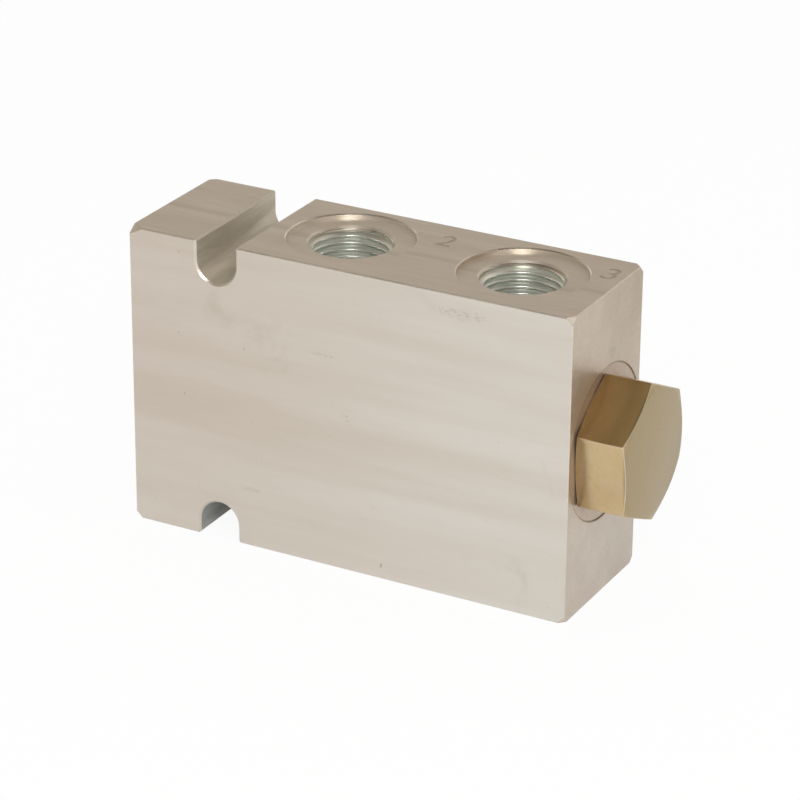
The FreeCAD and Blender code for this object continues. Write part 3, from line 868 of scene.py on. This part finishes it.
def makeThreadTree():
    # a ridge with sloping flanks along a helix, faded out against the mouth's countersink and at its far end
    tree, given, result = newShapeTree("portThread", helixInputs + [
        ("Depth", "NodeSocketFloat", 0.001),
        ("Root Width", "NodeSocketFloat", 0.0015),
        ("Crest Width", "NodeSocketFloat", 0.0003),
        ("Crest Round", "NodeSocketFloat", 0.0001),
        ("Mouth Radius", "NodeSocketFloat", 0.0109),
        ("Mouth Slope", "NodeSocketFloat", 0.95),
    ])
    profile = addNode(tree, "GeometryNodeCurvePrimitiveQuadrilateral", {
        "Height": given["Depth"], "Bottom Width": given["Root Width"], "Top Width": given["Crest Width"],
        "Offset": 0.0,
    }, mode="TRAPEZOID")
    rounded = addNode(tree, "GeometryNodeFilletCurve", {
        "Curve": profile.outputs[0], "Count": threads["roundSteps"], "Radius": given["Crest Round"],
        "Limit Radius": True,
    }, mode="POLY")
    turned = addNode(tree, "GeometryNodeTransform", {
        "Geometry": rounded.outputs[0], "Rotation": (0.0, 0.0, math.radians(threads["profileTurn"])),
    })
    ridge = addNode(tree, "GeometryNodeCurveToMesh", {
        "Curve": addHelix(tree, given), "Profile Curve": turned.outputs[0], "Fill Caps": True,
    })
    x, y, z = axesOf(tree, addNode(tree, "GeometryNodeInputPosition").outputs[0])
    flat = addNode(tree, "ShaderNodeCombineXYZ", {0: x, 1: y}).outputs[0]
    radius = lengthOf(tree, flat)
    below = maths(tree, "MAXIMUM", maths(tree, "SUBTRACT", given["Length"], z), 0.0)
    cone = maths(tree, "SUBTRACT", given["Mouth Radius"], product(tree, below, given["Mouth Slope"]))
    end = maths(tree, "SUBTRACT", given["Radius"], z)
    least = maths(tree, "MAXIMUM", maths(tree, "MAXIMUM", cone, end), radius)
    share = maths(tree, "DIVIDE", least, radius)
    wider = addNode(tree, "ShaderNodeVectorMath", {0: flat, "Scale": share}, operation="SCALE").outputs[0]
    wideX, wideY = axesOf(tree, wider)[:2]
    lowered = maths(tree, "MINIMUM", z, given["Length"])
    place = addNode(tree, "ShaderNodeCombineXYZ", {0: wideX, 1: wideY, 2: lowered}).outputs[0]
    outermost = maths(tree, "MULTIPLY_ADD", given["Depth"], 0.5, given["Radius"])
    rise = maths(tree, "DIVIDE", maths(tree, "SUBTRACT", outermost, radius), given["Depth"])
    marked = addNode(tree, "GeometryNodeStoreNamedAttribute", {
        "Geometry": ridge.outputs[0], "Name": "crestRise", "Value": rise,
    }, data_type="FLOAT", domain="POINT")
    cut = addNode(tree, "GeometryNodeSetPosition", {"Geometry": marked.outputs[0], "Position": place})
    return finishShape(tree, cut.outputs[0], given["Material"], result)


def shapeFromTree(pieceName, tree, values, placement):
    piece = bpy.data.objects.new(pieceName, bpy.data.meshes.new(pieceName))
    bpy.context.scene.collection.objects.link(piece)
    modifier = piece.modifiers.new("shape", "NODES")
    modifier.node_group = tree
    for item in tree.interface.items_tree:
        if item.in_out == "INPUT" and item.name in values:
            modifier[item.identifier] = values[item.name]
    applyModifiers(piece)
    piece.data.transform(placement)
    mesh = bmesh.new()
    mesh.from_mesh(piece.data)
    bmesh.ops.recalc_face_normals(mesh, faces=mesh.faces)
    mesh.to_mesh(piece.data)
    mesh.free()
    return piece


def makeThreads():
    tree = makeThreadTree()
    deep = threads["depth"] + threads["sunk"]
    for name in portNames:
        wall = mounts[name]["dims"]["r_mm"] * mm
        length = mounts[name]["dims"]["length_mm"] * mm + threads["mouthDepth"]
        face, out = portFace(name)
        mouth = face - out * block["spotfaceDepth"]
        placement = Matrix.Translation(mouth - out * length)
        if out.z < 0:
            placement = placement @ Matrix.Rotation(math.pi, 4, "X")
        placement = placement @ Matrix.Rotation(math.radians(threads["starts"][name]), 4, "Z")
        piece = shapeFromTree(name.replace("port", "thread"), tree, {
            "Radius": wall + threads["sunk"] - deep / 2,
            "Length": length,
            "Turns": length / threads["pitch"],
            "Steps": threads["steps"],
            "Depth": deep,
            "Crest Width": threads["crest"],
            "Root Width": threads["rootShare"] * threads["pitch"],
            "Crest Round": threads["round"],
            "Mouth Radius": threads["mouthRadius"],
            "Mouth Slope": threads["mouthSlope"],
            "Material": blockExtras["thread"],
        }, placement)
        smoothByAngle(piece, threads["smoothAngle"])
        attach(piece, "root")


springs = {"wire": 0.55 * mm, "turns": 4.0, "steps": 40, "keep": 0.74, "smoothAngle": 60}


def makeSpringTree():
    tree, given, result = newShapeTree("coilSpring", helixInputs + [
        ("Wire Radius", "NodeSocketFloat", 0.0005),
        ("Wire Sides", "NodeSocketInt", 14),
    ])
    wire = addNode(tree, "GeometryNodeCurvePrimitiveCircle", {
        "Resolution": given["Wire Sides"], "Radius": given["Wire Radius"],
    })
    coil = addNode(tree, "GeometryNodeCurveToMesh", {
        "Curve": addHelix(tree, given), "Profile Curve": wire.outputs[0], "Fill Caps": True,
    })
    return finishShape(tree, coil.outputs[0], given["Material"], result)


def makeSprings():
    tree = makeSpringTree()
    for side, nodeName in ((1, "right_centring_spring"), (-1, "left_centring_spring")):
        low, high = [Vector(corner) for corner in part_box(nodeName)]
        middle = (low + high) / 2
        radius = (high.y - low.y) / 2 - springs["wire"]
        length = high.x - low.x - 2 * springs["wire"]
        start = Vector((low.x + springs["wire"], middle.y, middle.z))
        placement = Matrix.Translation(start) @ Matrix.Rotation(math.pi / 2, 4, "Y")
        piece = shapeFromTree(nodeName.replace("spring", "coil"), tree, {
            "Radius": radius, "Length": length, "Turns": springs["turns"], "Steps": springs["steps"],
            "Wire Radius": springs["wire"], "Material": finishes["spring_steel"],
        }, placement)
        smoothByAngle(piece, springs["smoothAngle"])
        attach(piece, "root")
        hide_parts(nodeName)
        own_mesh(piece)


makeThreads()
makeSprings()
print("threads and springs made")


# floor, light and camera

studio = {
    "floorSize": 6.0,
    "floorGap": 0.02 * mm,
    "floorColour": (0.86, 0.85, 0.835),
    "floorGlow": 0.93,
    "floorGlowInMetal": 0.3,
    # the sky that metal mirrors, from the horizon up, and the heights between which each colour takes over
    "skyLow": (0.96, 0.95, 0.93),
    "skyBands": (
        ((0.02, 0.42), (0.535, 0.452, 0.348)),
        ((0.42, 0.85), (0.108, 0.066, 0.027)),
        ((0.96, 0.99), (0.30, 0.31, 0.28)),
    ),
    "skyDiffuse": (0.7, 0.7, 0.7),
    "white": (1.0, 1.0, 1.0),
}


def makeFloor():
    size, level = studio["floorSize"], cadBox[0][2] - studio["floorGap"]
    corners = [(-size, -size, level), (size, -size, level), (size, size, level), (-size, size, level)]
    mesh = bpy.data.meshes.new("studio_floor")
    mesh.from_pydata(corners, [], [(0, 1, 2, 3)])
    floor = bpy.data.objects.new("studio_floor", mesh)
    bpy.context.scene.collection.objects.link(floor)
    material, tree, shader = startMaterial("paleFloor", 0.0, 0.9)[:3]
    shader.inputs["Base Color"].default_value = (*studio["floorColour"], 1.0)
    shader.inputs["Specular IOR Level"].default_value = 0.0
    rays = addNode(tree, "ShaderNodeLightPath").outputs
    glow = addNode(tree, "ShaderNodeEmission", {"Color": (*studio["white"], 1.0), "Strength": 1.0})
    seen = maths(tree, "MAXIMUM", rays["Is Camera Ray"], rays["Is Transmission Ray"])
    seenShare = product(tree, seen, studio["floorGlow"])
    metalShare = product(tree, rays["Is Glossy Ray"], studio["floorGlowInMetal"])
    share = maths(tree, "MAXIMUM", seenShare, metalShare)
    mixed = addNode(tree, "ShaderNodeMixShader", {0: share, 1: shader.outputs[0], 2: glow.outputs[0]})
    tree.links.new(mixed.outputs[0], tree.nodes["Material Output"].inputs["Surface"])
    mesh.materials.append(material)


def makeSky():
    world = bpy.data.worlds.new("softStudio")
    world.use_nodes = True
    bpy.context.scene.world = world
    tree = world.node_tree
    height = axesOf(tree, addNode(tree, "ShaderNodeTexCoord").outputs["Generated"])[2]
    mirrored = studio["skyLow"]
    for (start, full), colour in studio["skyBands"]:
        mirrored = mixColours(tree, rescale(tree, height, start, full), mirrored, colour)
    rays = addNode(tree, "ShaderNodeLightPath").outputs
    shown = mixColours(tree, rays["Is Glossy Ray"], studio["skyDiffuse"], mirrored)
    seen = maths(tree, "MAXIMUM", rays["Is Camera Ray"], rays["Is Transmission Ray"])
    shown = mixColours(tree, seen, shown, studio["white"])
    tree.links.new(shown, tree.nodes["Background"].inputs["Color"])


lamps = {
    "key": {"place": (0.46, -0.80, 0.85), "size": 0.5, "power": 7.2, "colour": (1.0, 0.995, 0.985)},
    "fill": {"place": (1.1, -0.25, 0.55), "size": 0.8, "power": 0.7, "colour": (1.0, 0.97, 0.93)},
    "top": {"place": (0.35, 0.75, 0.9), "size": 0.8, "power": 0.8, "colour": (1.0, 0.98, 0.95)},
}


def makeLamps():
    for name, lamp in lamps.items():
        data = bpy.data.lights.new(name, "AREA")
        data.size = lamp["size"]
        data.energy = lamp["power"]
        data.color = lamp["colour"]
        light = bpy.data.objects.new(name, data)
        light.location = lamp["place"]
        light.rotation_euler = (block["middle"] - light.location).to_track_quat("-Z", "Y").to_euler()
        bpy.context.scene.collection.objects.link(light)


camera = {
    "azimuth": 28.2087,
    "elevation": 24.1328,
    "roll": 0.4612,
    "lens": 153.03,
    "sensor": 36,
    "clip": (0.01, 20),
    "blockLength": 120 * mm,
    "aim": (0.5, 0.0, 0.3),  # in block lengths from the front left corner of the base
    "offset": (-0.11306, 0.07211, 6.82777),  # of the aim point, to the right, down and away
}


def makeCamera():
    turn, rise, roll = [math.radians(camera[name]) for name in ("azimuth", "elevation", "roll")]
    back = Vector((math.sin(turn) * math.cos(rise), -math.cos(turn) * math.cos(rise), math.sin(rise)))
    right = Vector((math.cos(turn), math.sin(turn), 0.0))
    down = -back.cross(right)
    rolledRight = math.cos(roll) * right - math.sin(roll) * down
    rolledDown = math.sin(roll) * right + math.cos(roll) * down
    aside, under, away = camera["offset"]
    step = rolledRight * aside + rolledDown * under - back * away
    place = (Vector(camera["aim"]) - step) * camera["blockLength"] + block["low"]
    data = bpy.data.cameras.new("camera")
    data.lens = camera["lens"]
    data.sensor_width = camera["sensor"]
    data.clip_start, data.clip_end = camera["clip"]
    seen = bpy.data.objects.new("camera", data)
    axes = Matrix((rolledRight, -rolledDown, back)).transposed()
    seen.matrix_world = Matrix.Translation(place) @ axes.to_4x4()
    bpy.context.scene.collection.objects.link(seen)
    bpy.context.scene.camera = seen


makeFloor()
makeSky()
makeLamps()
makeCamera()
bpy.context.scene.view_settings.view_transform = "Standard"
print("studio, lamps and camera made")
